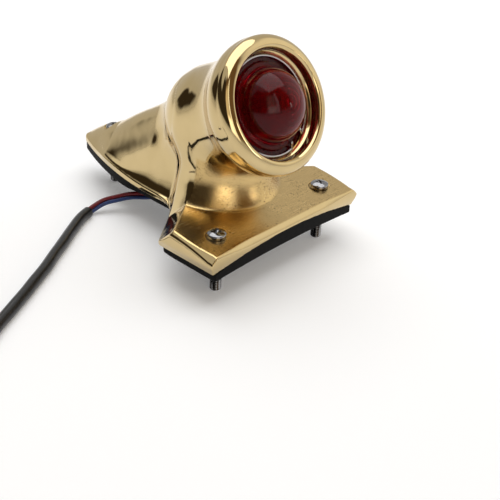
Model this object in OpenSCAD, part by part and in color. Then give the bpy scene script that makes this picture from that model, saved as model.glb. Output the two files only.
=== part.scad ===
// Motorcycle tail light: a polished brass lamp body with a crossbar, a domed ruby lens,
// a bayonet bulb inside the barrel, a rubber pad and a three-wire lead.
// The lens faces -Y and up, the tongue points to +Y, and the screw ends stand on z = 0.

/* [Crossbar] */
// Half width of the crossbar at its fullest line
bar_half = 53.7; // [51:0.1:56]
// Half distance between the two front screws
screw_half = 37.8; // [34:0.1:40]
// Height of the crossbar's top face above the screw line
bar_top = 29.9; // [28:0.1:32]
// Rise of the crossbar's top face for each millimetre to the rear
bar_slope = 0.11; // [0:0.01:0.15]
// Height of the flat middle of the casting's underside
under_z = 21.4; // [20:0.1:23]
// Drop of the underside at the ends of the crossbar
under_drop = 3; // [1:0.1:4]
// Height of the underside in the middle of the crossbar's front edge
front_under_z = 24.8; // [23:0.1:25]
// Drop of the underside from there to the ends of the front edge
front_drop = 6.4; // [4:0.1:6.6]
// Bow of the crossbar's ends
end_bow = 1.6; // [0:0.1:2]

/* [Tongue] */
// Half width of the tongue where it leaves the crossbar
tongue_half = 24.2; // [22:0.1:26]
// Height of the tongue's thin edge
edge_z = 24.6; // [24:0.1:26]
// Place of the rear screw behind the front screws
rear_screw_y = 121.5; // [118:0.1:124]
// Place of the centre of the round tip behind the front screws
tip_y = 135; // [134:0.1:135.5]
// Radius of the round tip
tip_r = 8.3; // [8:0.1:8.6]

/* [Barrel] */
// Angle that the lamp looks up
tilt = 25.6; // [20:0.1:30]
// Height of the lamp axis at the barrel's mouth
mouth_z = 86; // [84:0.1:88]
// Radius of the barrel behind its flare
barrel_r = 27; // [26.6:0.1:27.6]
// Extra radius of the flare at the mouth
flare = 7.1; // [6:0.1:7.4]
// Distance of the domed back's centre behind the mouth
dome_s = 40.2; // [38:0.1:42]
// Radius of the cavity behind the lens
cavity_r = 23.3; // [22.8:0.1:23.5]

/* [Lens] */
// Radius of the lens flange
lens_r = 24.4; // [24:0.1:24.6]
// Radius of the lens dome
dome_r = 19.2; // [18.6:0.1:19.6]
// Thickness of the glass
glass_t = 2.6; // [2:0.1:3]
// Diameter of the wire of the retaining ring
ring_wire = 1.5; // [1.2:0.1:1.5]

/* [Bulb and socket] */
// Radius of the bulb's glass globe
globe_r = 13.25; // [12:0.05:13.3]
// Length of the bulb from its contacts to its tip
bulb_len = 52.5; // [50:0.5:53]
// Radius of the bayonet cap
cap_r = 7.55; // [7.5:0.01:7.6]
// Depth of the bulb's contacts behind the mouth
contact_s = 45.5; // [45:0.1:46]
// How far the bulb pushes in against its springs
push = 2; // [1.5:0.1:2]
// Bore radius of the socket shell
shell_r = 7.65; // [7.62:0.01:7.65]
// Wall of the socket shell
shell_t = 0.7; // [0.6:0.1:0.8]

/* [Screws] */
// Shank radius of the three mounting screws
stud_r = 2.95; // [2.9:0.05:3]
// Head radius of the mounting screws
head_r = 4.65; // [4.4:0.05:4.8]
// Head height of the mounting screws
head_h = 3.2; // [2.8:0.1:3.4]
// Length of full thread that stands free below the pad
thread_len = 14; // [8:0.5:14]

/* [Lead] */
// Diameter of one wire
wire_d = 2.2; // [2:0.1:2.3]
// Diameter of the sleeve
sleeve_d = 6.4; // [6:0.1:6.4]

/* [Hidden] */
$fn = 64;

brass = [0.80, 0.62, 0.28];
steel = [0.72, 0.73, 0.75];
ruby = [0.55, 0.02, 0.04];
rubber = [0.07, 0.07, 0.07];
clear = [0.85, 0.90, 0.92];

// The row frame's origin lies under the middle of the object, not under the front screws.
shift_y = -64;
mouth_y = 2.1;
seat_z = bar_top - 0.2;
rear_seat_z = 33.5;
wing_y = 26;
wing_fall = 0.72;
column_y = 38;
tongue_fall = 14.9;
column_r = 34;
lens_back = -5.6;
rest_h = -6.6;
plate_s = 30;
pillar_x = 17;
contact_x = 3.3;
slot_w = 2.6;
insulator_s = 50.5;
shell_end = 55;
pin_s = [contact_s - 6.5, contact_s - 9.5];
pad_hole = [-8, 68];

// Route of the three wires as a bundle, from the wire hole to the sleeve's mouth.
bundle = [
    [0, -24, 42], [0, -22, 35], [-2, -14, 29.5], [-5, -3, 26.5], [-7, 3, 20.5], [-9.3, 7.6, 13.6],
    [-13.5, 14, 12], [-18, 21.5, 10.4], [-23, 27.5, 8], [-29, 32.5, 5.8], [-36.5, 34.7, 3.2],
    [-39.5, 33.5, 3.2]
];
// Route of the sleeve along the ground, from its mouth to its cut end.
sleeve_route = [
    [-39.5, 33.5, 3.2], [-47, 30.5, 3.2], [-58, 24, 3.2], [-68, 17.5, 3.2], [-78.5, 11, 3.2],
    [-88.5, 4.5, 3.2], [-97, -0.5, 3.2], [-105, -5, 3.2], [-111, -8.5, 3.2], [-123, -15, 3.2],
    [-133.5, -20.5, 3.2], [-144, -26, 3.2], [-155.5, -28.5, 3.2], [-167, -26, 3.2],
    [-177, -19, 3.2], [-183.5, -8, 3.2], [-185.5, 4, 3.2], [-183.5, 14, 3.2], [-181, 20, 3.2]
];
// Route of the three wire tails beyond the sleeve's cut end, as a bundle.
tail_route = [[-181, 20, 3.2], [-178.5, 26, 3.2], [-175, 33, 3.2], [-171, 40, 3.2], [-166, 48, 3.2]];

function clamp01(t) = max(0, min(1, t));
function ease(t) = clamp01(t) * clamp01(t) * (3 - 2 * clamp01(t));
function unit(v) = v / norm(v);

// Height of the crossbar's sloping top face.
function bar_z(y) = bar_top + bar_slope * y;

// Height of the casting's arched underside, and of the pad's own underside.
function arch_back(x) = under_z - under_drop * pow(max(0, min(1.2, (abs(x) - 20) / 31)), 2);
function arch_front(x) = front_under_z - front_drop * pow(min(1.25, abs(x) / 51), 2);
function arch(x, y) = arch_back(x) + (arch_front(x) - arch_back(x)) * ease((28 - y) / 28);
function pad_z(x, y) =
    16.3 - 1.8 * pow(x / 50, 2) + 1.8 * ease((y - 15) / 25) * (1 - ease((y - 68) / 20));

// Half width of the casting at one place along its length.
function corner(y) = y < -9 ? 3.4 * (1 - sqrt(max(0, 1 - pow((-9 - y) / 4.3, 2)))) : 0;
function wing_half(y) = min(bar_half - corner(y), 25 + (45.5 - y) / wing_fall);
function tongue_w(y) =
    y < 58 ? tongue_half
    : y < tip_y + 3 ? tongue_half - tongue_fall * pow((y - 58) / 76, 2)
    : sqrt(max(0.01, tip_r * tip_r - pow(y - tip_y, 2)));
function body_half(y) = y < 48 ? max(wing_half(y), tongue_half) : tongue_w(y);

// Height of the ridge that runs down from the barrel to the rear screw.
function ridge(y) =
    y < 112 ? min(78, 75 - 0.71 * (y - 65)) - 2.1 * exp(-pow((y - 77) / 15, 2))
    : 41.6 - 0.36 * (y - 112) - 0.0065 * pow(y - 112, 2);

// The plate falls to the thin edge in a wide bevel along the wings' rear edges.
function wing_back(x) = 45.5 - wing_fall * (abs(x) - 25);
function thin(x) = ease((abs(x) - 24) / 6);
function plate(x, y) =
    min(bar_z(y), edge_z - 2.9 * thin(x) + (0.69 + 0.225 * thin(x)) * max(0, wing_back(x) - y));
function column_w(y) =
    y < 51 ? column_r - (column_r - tongue_half) * ease((y - column_y) / 13) : tongue_w(y);
function column_q(y) = 1.67 - 0.22 * ease((y - column_y) / 13);
function spread(x, y) =
    min(1, y < column_y ? norm([x, y - column_y]) / column_r : abs(x) / column_w(y));
function swell(x, y) = 0.5 * (1 + cos(180 * pow(spread(x, y), column_q(y))));
function top_z(x, y) = plate(x, y) + max(0, ridge(y) - plate(x, y)) * swell(x, y);

// The casting's front face is a low bead, so its first rings are lower at the top and bottom.
nose_y = -13.2;
function face_front(x) = -11 - 1.3 * ease((abs(x) - 25) / 25);
function nose_top(x, y) =
    min(top_z(x, y), bar_z(-11) + (y < face_front(x) ? 1.2 * (y - face_front(x)) : 99));
function floor_z(y) = y < -11.35 ? 23.2 - 2.9 * (y - nose_y) : 12;

// One ring of the casting: the flat floor, the bulging sides and the top from side to side.
top_n = 30;
function side(y) = clamp01((45 - y) / 15);
function ring(y) =
    let (
        w = body_half(y),
        k = side(y),
        top_x = max(0.3, w - 0.9 - 2.5 * k + end_bow * max(0, 1 - pow((y - 8) / 18, 2))),
        floor_x = max(0.5, w - 0.5 - 2 * k),
        high = min(23.8 + 2.9 * k, nose_top(top_x, y) - 0.4),
        low = max(high - 1.2 - 1.3 * k, floor_z(y) + 0.2)
    )
    concat(
        [[-floor_x, y, floor_z(y)], [floor_x, y, floor_z(y)], [w, y, low], [w, y, high]],
        [for (i = [0:top_n])
            let (x = top_x * (1 - 2 * i / top_n))
            [x, y, nose_top(x, y)]],
        [[-w, y, high], [-w, y, low]]
    );

body_stations = [
    nose_y, -12.4, -11.4, -11.2, -8.5, -4, 1, 6, 11, 15, 19, 22, 24.5, 27, 30, 33, 36, 39, 42, 44.5,
    47, 50, 54, 60, 66, 74, 82, 90, 98, 106, 113, 119, 125, 130, 134, 137, 139.5, 141.5, 142.8, 143.2
];
body_rings = [for (y = body_stations) ring(y)];

// The pocket under the ridge lightens the casting and carries the wires.
pocket_n = 12;
function pocket_roof(x, y) =
    max(21.8, min(36 + 0.9 * max(0, y - 62), top_z(1.2 * x, y) - 5));
function pocket_half(y) = 0.66 * column_w(y) * sqrt(clamp01((y - 23) / 8) * clamp01((115 - y) / 8));
function pocket_ring(y) =
    let (w = max(0.6, pocket_half(y)))
    concat(
        [[-w, y, 10], [w, y, 10]],
        [for (i = [0:pocket_n])
            let (x = w * (1 - 2 * i / pocket_n))
            [x, y, pocket_roof(x, y)]]
    );
pocket_rings = [for (y = [24, 26, 29, 33, 40, 48, 56, 62, 68, 76, 84, 92, 100, 107, 111, 114]) pocket_ring(y)];

// Outline of the pad, which is set in a little from the casting's edge.
function pad_half(y) =
    y < 48 ? max(tongue_half - 1.5, wing_half(y) - (y < 24 ? 3.3 : 4.1))
    : tongue_w(y) - 1.5 + 1.1 * ease((y - 75) / 20);
pad_stations = concat(
    [-12, -11, -9], [for (y = [-4:10:26]) y], [30, 36, 42, 45, 48, 60, 68, 78, 86, 96, 106, 115, 125, 134],
    [for (a = [30:15:75]) tip_y + (tip_r - 0.4) * sin(a)]
);

// A closed skin over rings that all have the same number of points.
module loft(rings) {
    m = len(rings[0]);
    n = len(rings);
    points = [for (r = rings) each r];
    walls = [for (i = [0:n - 2], j = [0:m - 1])
        let (
            a = i * m + j,
            b = i * m + (j + 1) % m
        )
        each [[a, b, a + m], [b, b + m, a + m]]];
    start = [for (j = [1:m - 2]) [0, j + 1, j]];
    end = [for (j = [1:m - 2]) [(n - 1) * m, (n - 1) * m + j, (n - 1) * m + j + 1]];
    polyhedron(points, concat(walls, start, end));
}

// Rings of a round tube along a route. The frame vector is never parallel to the route.
lean = unit([1, 0, 1]);
function heading(p, i) =
    i == 0 ? unit(p[1] - p[0])
    : i == len(p) - 1 ? unit(p[i] - p[i - 1])
    : unit(unit(p[i + 1] - p[i]) + unit(p[i] - p[i - 1]));
function across(t, ref) = unit(cross(t, ref));
function around(t, ref, a) = cos(a) * across(t, ref) + sin(a) * cross(across(t, ref), t);
function tube_rings(p, d, sides, ref) =
    [for (i = [0:len(p) - 1])
        [for (k = [0:sides - 1]) p[i] + d / 2 * around(heading(p, i), ref, -360 * k / sides)]];

// Places of one of the three wires beside the bundle's own line.
bundle_r = 1.32;
function strand(p, a, b, ref) =
    [for (i = [0:len(p) - 1])
        p[i] + bundle_r * around(heading(p, i), ref, a + (b - a) * i / (len(p) - 1))];

module placed() {
    translate([0, shift_y, 0])
        children();
}

module on_axis() {
    placed()
        translate([0, mouth_y, mouth_z])
            rotate([90 - tilt, 0, 0])
                children();
}

// Profile of the barrel from its domed back to the rolled rim and the step for the lens.
function barrel_at(s) = barrel_r + flare * exp(-pow(abs(s - 3.5) / 12.2, 2.2));
barrel_profile = concat(
    [for (a = [0:7.5:82.5]) [barrel_r * sin(a), -dome_s - barrel_r * cos(a)]],
    [for (s = [dome_s, 36, 32, 28, 25, 22, 20, 18, 16, 14, 12, 10, 8, 6, 4]) [barrel_at(s), -s]],
    [for (a = [-10:15:80]) [28.65 + 5.4 * cos(a), -0.43 + 5 * sin(a)]],
    [for (a = [90:15:180]) [28.65 + 2.45 * cos(a), -0.43 + 5 * sin(a)]],
    [[24.8, -2], [25.2, -2.01], [25.2, -3.6], [24.8, -3.61], [24.8, rest_h], [0, rest_h]]
);

module barrel_solid() {
    rotate_extrude()
        polygon(barrel_profile);
}

module cavity() {
    rotate_extrude()
        polygon(concat(
            [for (a = [0:10:80]) [cavity_r * sin(a), -dome_s - cavity_r * cos(a)]],
            [[cavity_r, -dome_s], [cavity_r, rest_h + 1], [0, rest_h + 1]]
        ));
}

// The arched underside of the casting, which the top of the pad follows.
arch_x = [-60, -51, -46, -41, -36, -31, -26, -20, -13, -7, 0, 7, 13, 20, 26, 31, 36, 41, 46, 51, 60];
arch_y = [-40, 0, 4, 8, 12, 16, 20, 24, 28, 34, 40, 68, 73, 78, 83, 88, 160];
function arch_line(y) = [for (i = [len(arch_x) - 1:-1:0]) [arch_x[i], y, arch(arch_x[i], y)]];

module arch_void() {
    loft([for (y = arch_y) concat([[-60, y, -5], [60, y, -5]], arch_line(y))]);
}

module pad_slab() {
    loft([for (y = arch_y) concat([for (x = arch_x) [x, y, pad_z(x, y)]], arch_line(y))]);
}

module pad_outline() {
    n = len(pad_stations) - 1;
    polygon(concat(
        [for (i = [0:n]) [pad_half(pad_stations[i]), pad_stations[i]]],
        [[0, tip_y + tip_r - 0.4]],
        [for (i = [n:-1:0]) [-pad_half(pad_stations[i]), pad_stations[i]]]
    ));
}

module stud_places() {
    for (x = [-screw_half, screw_half])
        translate([x, 0, 0])
            children();
    translate([0, rear_screw_y, 0])
        children();
}

module housing() {
    color(brass)
        difference() {
            union() {
                difference() {
                    union() {
                        placed()
                            loft(body_rings);
                        on_axis()
                            barrel_solid();
                    }
                    on_axis()
                        cavity();
                    placed()
                        loft(pocket_rings);
                }
                on_axis()
                    for (x = [-pillar_x, pillar_x])
                        translate([x, 0, -58])
                            cylinder(h = 58 - plate_s - (x < 0 ? 1.5 : 1), r = 3.2);
            }
            placed() {
                arch_void();
                stud_places()
                    translate([0, 0, 5])
                        cylinder(h = 60, r = stud_r + 0.25);
                for (x = [-screw_half, screw_half])
                    translate([x, 0, seat_z])
                        cylinder(h = 10, r = head_r + 0.75);
                translate([0, rear_screw_y, rear_seat_z])
                    cylinder(h = 20, r = head_r + 0.95);
                translate([0, 40, 30])
                    cylinder(h = 20, r = 5);
            }
            on_axis()
                for (x = [-pillar_x, pillar_x])
                    translate([x, 0, -43])
                        cylinder(h = 20, r = 1.5);
        }
}

module base_pad() {
    color(rubber)
        placed()
            difference() {
                intersection() {
                    translate([0, 0, 5])
                        linear_extrude(25)
                            pad_outline();
                    pad_slab();
                }
                stud_places()
                    translate([0, 0, 5])
                        cylinder(h = 30, r = stud_r + 0.4);
                translate([pad_hole[0], pad_hole[1], 5])
                    cylinder(h = 30, r = 6.5);
            }
}

// Profile of the lens: flange, moulded rib, dome, then the hollow inside.
dome_h = -4.9;
module lens() {
    inner = dome_r - glass_t;
    color(ruby)
        on_axis()
            rotate_extrude()
                polygon(concat(
                    [[inner, lens_back], [lens_r, lens_back], [lens_r, -3.6], [21.6, -3.6], [21.2, -1.9]],
                    [[20.6, -1.5], [19.6, -1.6], [18.9, -1.0]],
                    [for (a = [15:7.5:90]) [dome_r * cos(a), dome_h + dome_r * sin(a)]],
                    [for (a = [90:-7.5:0]) [inner * cos(a), dome_h + inner * sin(a)]]
                ));
}

module lens_seal() {
    color(rubber)
        on_axis()
            translate([0, 0, rest_h])
                difference() {
                    cylinder(h = lens_back - rest_h, r = 24.5);
                    translate([0, 0, -1])
                        cylinder(h = 4, r = 21);
                }
}

// The ring is open near the bottom, and its two ends are bent inwards as finger grips.
gap_start = 288;
gap_end = 309;
ring_r = 24.35;
module retaining_ring() {
    color(steel)
        on_axis()
            translate([0, 0, -2.8]) {
                rotate([0, 0, gap_end])
                    rotate_extrude(angle = 360 - gap_end + gap_start)
                        translate([ring_r, 0])
                            circle(d = ring_wire);
                for (a = [gap_start - 2, gap_end + 2])
                    rotate([0, 0, a])
                        translate([ring_r + 0.1, 0, 0])
                            rotate([0, -60, 0])
                                cylinder(h = 4.6, d = ring_wire - 0.2);
            }
}

module mounting_screw(seat) {
    color(steel)
        difference() {
            union() {
                cylinder(h = thread_len, r = stud_r);
                cylinder(h = seat, r = stud_r - 0.3);
                translate([0, 0, seat])
                    rotate_extrude()
                        polygon(concat(
                            [[0, 0], [head_r, 0]],
                            [for (a = [0:15:75]) [head_r * cos(a * 0.62), head_h * (0.35 + 0.65 * sin(a * 1.2))]],
                            [[0, head_h]]
                        ));
            }
            translate([0, 0, seat + head_h])
                for (a = [45, 135])
                    rotate([0, 0, a])
                        cube([4.6, 0.9, 3.4], center = true);
        }
}

module left_screw() {
    placed()
        translate([-screw_half, 0, 0])
            mounting_screw(seat_z);
}

module right_screw() {
    placed()
        translate([screw_half, 0, 0])
            mounting_screw(seat_z);
}

module rear_screw() {
    placed()
        translate([0, rear_screw_y, 0])
            mounting_screw(rear_seat_z);
}

module reflector_plate() {
    color(steel)
        on_axis()
            translate([0, 0, -plate_s - 1])
                difference() {
                    cylinder(h = 1, r = cavity_r - 0.1);
                    translate([0, 0, -1])
                        cylinder(h = 3, r = shell_r + shell_t);
                    for (x = [-pillar_x, pillar_x])
                        translate([x, 0, -1])
                            cylinder(h = 3, r = 1.6);
                }
}

module plate_screws() {
    color(steel)
        on_axis()
            for (x = [-pillar_x, pillar_x])
                translate([x, 0, -plate_s]) {
                    difference() {
                        cylinder(h = 1.8, r = 2.8);
                        translate([-4, -0.4, 1.1])
                            cube([8, 0.8, 2]);
                    }
                    translate([0, 0, -11])
                        cylinder(h = 11, r = 1.5);
                }
}

// One J-shaped slot: in along the shell, round by a sixth of a turn, and back into the hook.
module j_slot(pin, turn) {
    deep = pin + push + slot_w / 2;
    rotate([0, 0, turn]) {
        translate([5, -slot_w / 2, -deep])
            cube([4.5, slot_w, deep - pin + 1.05]);
        rotate([0, 0, 36])
            translate([5, -slot_w / 2, -deep])
                cube([4.5, slot_w, deep - 20]);
        translate([0, 0, -deep])
            rotate([0, 0, -4])
                rotate_extrude(angle = 44)
                    translate([5, 0])
                        square([4.5, slot_w]);
    }
}

module socket_shell() {
    outer = shell_r + shell_t;
    color(brass)
        on_axis()
            difference() {
                rotate_extrude()
                    polygon([
                        [shell_r, -shell_end], [outer, -shell_end], [outer, -plate_s], [11.5, -plate_s],
                        [11.5, -plate_s + 0.7], [outer, -plate_s + 0.7], [outer, -28], [shell_r, -28]
                    ]);
                j_slot(pin_s[0], 90);
                j_slot(pin_s[1], 270);
            }
}

module contact_pair() {
    for (x = [-contact_x, contact_x])
        translate([x, 0, 0])
            children();
}

module socket_insulator() {
    color([0.35, 0.16, 0.08])
        on_axis()
            translate([0, 0, -shell_end])
                difference() {
                    cylinder(h = shell_end - insulator_s, r = shell_r);
                    contact_pair()
                        translate([0, 0, -1])
                            cylinder(h = 10, r = 1.27);
                }
}

module contact_terminals() {
    color(brass)
        on_axis()
            contact_pair() {
                translate([0, 0, -shell_end])
                    cylinder(h = 1.5, r = 1.27);
                translate([0, 0, -shell_end - 0.8])
                    cylinder(h = 0.8, r = 2);
                translate([0, 0, -shell_end - 2])
                    cylinder(h = 1.3, r = 1.1);
            }
}

module contact_plunger() {
    translate([0, 0, -contact_s - 0.8])
        cylinder(h = 0.8, r = 2.4);
    translate([0, 0, -contact_s - 5.6])
        cylinder(h = 5, r = 1.2);
}

module tail_contact() {
    color(brass)
        on_axis()
            translate([-contact_x, 0, 0])
                contact_plunger();
}

module brake_contact() {
    color(brass)
        on_axis()
            translate([contact_x, 0, 0])
                contact_plunger();
}

// Each spring sits between its plunger's head and the insulator, round the plunger's stem.
module contact_springs() {
    turns = 3;
    steps = 9;
    length = insulator_s - contact_s - 0.8 - 0.6;
    coil = [for (i = [0:turns * steps])
        [1.85 * cos(360 * i / steps), 1.85 * sin(360 * i / steps), length * i / (turns * steps)]];
    color(steel)
        on_axis()
            contact_pair()
                translate([0, 0, -insulator_s + 0.3])
                    loft(tube_rings(coil, 0.5, 6, [0, 0, 1]));
}

module earth_terminal() {
    color(brass)
        on_axis()
            translate([-pillar_x, 0, -plate_s - 1.5])
                difference() {
                    union() {
                        cylinder(h = 0.5, r = 3.2);
                        rotate([0, 0, -75])
                            translate([0, -1.3, 0])
                                cube([8.5, 2.6, 0.5]);
                    }
                    translate([0, 0, -1])
                        cylinder(h = 3, r = 1.55);
                }
}

globe_h = -contact_s + bulb_len - globe_r;
module bulb_glass() {
    neck_h = -24.5;
    color(clear)
        on_axis()
            rotate_extrude()
                polygon(concat(
                    [for (a = [-45:9:90]) [globe_r * cos(a), globe_h + globe_r * sin(a)]],
                    [for (a = [90:-9:-45]) [(globe_r - 0.7) * cos(a), globe_h + (globe_r - 0.7) * sin(a)]],
                    [[6.3, neck_h + 3.4], [6.0, neck_h], [6.0, -36], [6.7, -36], [6.7, neck_h], [7.1, neck_h + 3.2]]
                ));
}

module bulb_cap() {
    color(brass)
        on_axis()
            difference() {
                translate([0, 0, -contact_s + 1.5])
                    cylinder(h = 17, r = cap_r);
                translate([0, 0, -contact_s + 2.5])
                    cylinder(h = 20, r = cap_r - 0.5);
                translate([0, 0, -contact_s])
                    cylinder(h = 4, r = 5.6);
                for (i = [0, 1])
                    rotate([0, 90, 90 + 180 * i])
                        translate([pin_s[i], 0, 5])
                            cylinder(h = 5, r = 1);
            }
}

module bulb_pins() {
    color(brass)
        on_axis()
            for (i = [0, 1])
                rotate([0, 90, 90 + 180 * i])
                    translate([pin_s[i], 0, cap_r - 0.5])
                        cylinder(h = 8.6 - cap_r + 0.5, r = 1);
}

module bulb_base_insulator() {
    color([0.10, 0.10, 0.12])
        on_axis()
            difference() {
                translate([0, 0, -contact_s + 0.6])
                    cylinder(h = 2.4, r = 5.6);
                contact_pair()
                    translate([0, 0, -contact_s])
                        cylinder(h = 1.6, r = 1.6);
            }
}

module bulb_contacts() {
    color(steel)
        on_axis()
            contact_pair()
                translate([0, 0, -contact_s])
                    cylinder(h = 1.6, r = 1.6);
}

module filament_stem() {
    color(clear)
        on_axis() {
            translate([0, 0, -36])
                cylinder(h = 1.2, r = 6);
            translate([0, 0, -34.8])
                cylinder(h = 15.8, r = 2.2);
        }
}

// Four stiff wires stand on the stem, two for each filament.
support_top = [-7.5, -12.5];
module filament_supports() {
    color(steel)
        on_axis()
            for (y = [0, 1], x = [-1, 1])
                translate([x * 3.4, y * 2.8 - 1.4, -34.8])
                    cylinder(h = 34.8 + support_top[y], r = 0.3);
}

module filament_wire(i) {
    coil = [for (k = [0:24])
        [-3 + k / 4, i * 2.8 - 1.4 + 0.5 * cos(60 * k), support_top[i] + 0.6 + 0.5 * sin(60 * k)]];
    color([0.35, 0.35, 0.38])
        on_axis()
            loft(tube_rings(coil, 0.24, 4, [1, 0, 0]));
}

module filament_tail() {
    filament_wire(0);
}

module filament_brake() {
    filament_wire(1);
}

// Where each wire starts: at its own terminal, before it joins the bundle.
tag_y = shift_y + mouth_y + (shell_end + 2) * cos(tilt);
tag_z = mouth_z - (shell_end + 2) * sin(tilt);
function from_tag(x) = [
    [x * contact_x, tag_y, tag_z], [x * contact_x, tag_y + cos(tilt), tag_z - sin(tilt)],
    [x * 3.4, -8.7, 57.4], [x * 3.2, -10.7, 53.2], [x * 2.8, -14.4, 50.3], [x * 1.8, -20.2, 47.6]
];
from_earth = [[-15.2, -35.3, 65.7], [-14.6, -36.2, 63.2], [-12, -36, 58.6], [-8, -32, 51.6], [-2.5, -27, 47.6]];
starts = [from_tag(1), from_tag(-1), from_earth];
turn_of = [120, 240, 0];
twist = -160;
tail_turn = [180, 60, 300];
colours = [[0.05, 0.05, 0.05], [0.70, 0.05, 0.04], [0.05, 0.12, 0.45]];
fan = [-7, 0, 7];
side_way = [cos(-32), sin(-32), 0];

function tail_path(i) =
    let (p = strand(tail_route, tail_turn[i], tail_turn[i], [0, 0, 1]))
    [for (k = [0:4]) p[k] + side_way * fan[i] * pow(max(0, k - 1) / 3, 2) - [0, 0, k > 2 ? p[k][2] - 1.3 : 0]];

module lead(i) {
    color(colours[i]) {
        loft(tube_rings(
            concat(starts[i], strand(bundle, turn_of[i], turn_of[i] + twist, lean)), wire_d, 8, lean
        ));
        loft(tube_rings(tail_path(i), wire_d, 8, [0, 0, 1]));
    }
}

module lead_black() {
    lead(0);
}

module lead_red() {
    lead(1);
}

module lead_blue() {
    lead(2);
}

module lead_sleeve() {
    color([0.06, 0.06, 0.06])
        loft(tube_rings(sleeve_route, sleeve_d, 12, [0, 0, 1]));
}

// The stripped and tinned ends of the three wires.
module lead_ends() {
    color(steel)
        for (i = [0:2])
            let (
                p = tail_path(i),
                t = heading(p, 4)
            )
            loft(tube_rings([p[4], p[4] + 3 * t, p[4] + 6 * t], 1.3, 8, [0, 0, 1]));
}

housing();
base_pad();
lens();
lens_seal();
retaining_ring();
left_screw();
right_screw();
rear_screw();
reflector_plate();
plate_screws();
socket_shell();
socket_insulator();
contact_terminals();
tail_contact();
brake_contact();
contact_springs();
earth_terminal();
bulb_glass();
bulb_cap();
bulb_pins();
bulb_base_insulator();
bulb_contacts();
filament_stem();
filament_supports();
filament_tail();
filament_brake();
lead_black();
lead_red();
lead_blue();
lead_sleeve();
lead_ends();
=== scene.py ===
"""Looks of the motorcycle tail light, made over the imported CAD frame.

Lengths are in millimetres, with y counted from the front screws, until a mesh is made.
"""

import math
from itertools import product

import bmesh
import bpy
import numpy as np
from mathutils import Matrix


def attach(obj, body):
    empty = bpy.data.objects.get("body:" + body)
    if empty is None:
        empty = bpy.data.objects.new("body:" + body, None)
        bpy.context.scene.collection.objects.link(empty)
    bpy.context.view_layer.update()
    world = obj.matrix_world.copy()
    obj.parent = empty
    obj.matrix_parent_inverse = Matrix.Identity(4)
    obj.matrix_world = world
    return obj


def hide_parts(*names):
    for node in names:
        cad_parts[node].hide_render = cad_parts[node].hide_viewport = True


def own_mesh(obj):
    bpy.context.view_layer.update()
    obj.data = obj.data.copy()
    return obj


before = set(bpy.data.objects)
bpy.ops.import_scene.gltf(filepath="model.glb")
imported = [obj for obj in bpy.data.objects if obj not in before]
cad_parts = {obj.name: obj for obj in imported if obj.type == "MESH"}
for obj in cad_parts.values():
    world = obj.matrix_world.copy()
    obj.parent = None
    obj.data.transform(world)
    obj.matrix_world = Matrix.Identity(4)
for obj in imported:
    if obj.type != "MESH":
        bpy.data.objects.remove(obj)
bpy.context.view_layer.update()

MM = 0.001
ROW_Y = -64.0  # the row frame's origin lies under the middle of the object

# The casting, as in the CAD source.
BAR_HALF = 53.7
SCREW_X = 37.8
BAR_TOP = 29.9
BAR_SLOPE = 0.11
UNDER_Z = 21.4
UNDER_DROP = 3.0
FRONT_UNDER_Z = 24.8
FRONT_DROP = 6.4
TONGUE_HALF = 24.2
EDGE_Z = 24.6
COLUMN_Y = 38.0
COLUMN_R = 34.0
WAIST_LENGTH = 13.0  # over which the column narrows to the tongue
WING_X = 25.0  # the crossbar's rear edges start here and run outwards and forwards
WING_Y = 45.5
WING_SLOPE = 0.72
WING_NORM = 1.232
REAR_SCREW_Y = 121.5
TIP_Y = 135.0
TIP_R = 8.3
TIP_START = 138.0
TILT = math.radians(25.6)
MOUTH_Y = 2.1
MOUTH_Z = 86.0
BARREL_R = 27.0
FLARE = 7.1
DOME_S = 40.2
CAVITY_R = 23.3
SEAT_Z = 29.7
REAR_SEAT_Z = 33.5
JOIN_S = 12.0  # the turned rim and the cast body meet on this ring
RIM_REACH = 42.0  # everything of the rim lies nearer to the lamp's axis than this
BEAD_CENTRE = (28.65, -0.43)
BEAD_OUTER = (5.4, 5.0)
BEAD_INNER = (2.45, 5.0)
WIRE_HOLE_Y = 40.0
WIRE_HOLE_R = 5.0
PILLAR_X = 17.0
PILLAR_R = 3.2

# Pad
PAD_HOLE_X = -8.0
PAD_HOLE_Y = 68.0
PAD_HOLE_R = 6.5

# Screws
STUD_R = 2.95
NECK_R = 2.65
HEAD_R = 4.65
HEAD_H = 3.2
PITCH = 1.0
THREAD_TOP = 14.0
RECESS_REACH = 2.35
RECESS_HALF = 0.52

# Lens, ring and bulb, with heights along the axis from the mouth
DOME_H = -4.9
DOME_R = 19.2
GLASS_T = 2.6
STEP_PITCH = 2.6
STEP_DEPTH = 0.42
RING_R = 24.35
RING_H = -2.8
RING_WIRE_R = 0.75
GLOBE_R = 13.25
GLOBE_T = 0.6
GLOBE_H = -45.5 + 52.5 - GLOBE_R
NECK_H = -24.5
FILAMENT_TURNS = 12
SPRING_TURNS = 3.4
SPRING_BACK_H = -50.2
SPRING_LENGTH = 3.6

# Lead
WIRE_D = 2.2
SLEEVE_D = 6.4
SLEEVE_WALL = 0.65
STRAND_R = 1.32
TIP_WIRE_R = 0.65


# Camera, fitted to the photograph


def stance(right, up, back, place):
    return Matrix([[right[i], up[i], back[i], place[i]] for i in range(3)] + [[0, 0, 0, 1]])


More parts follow.
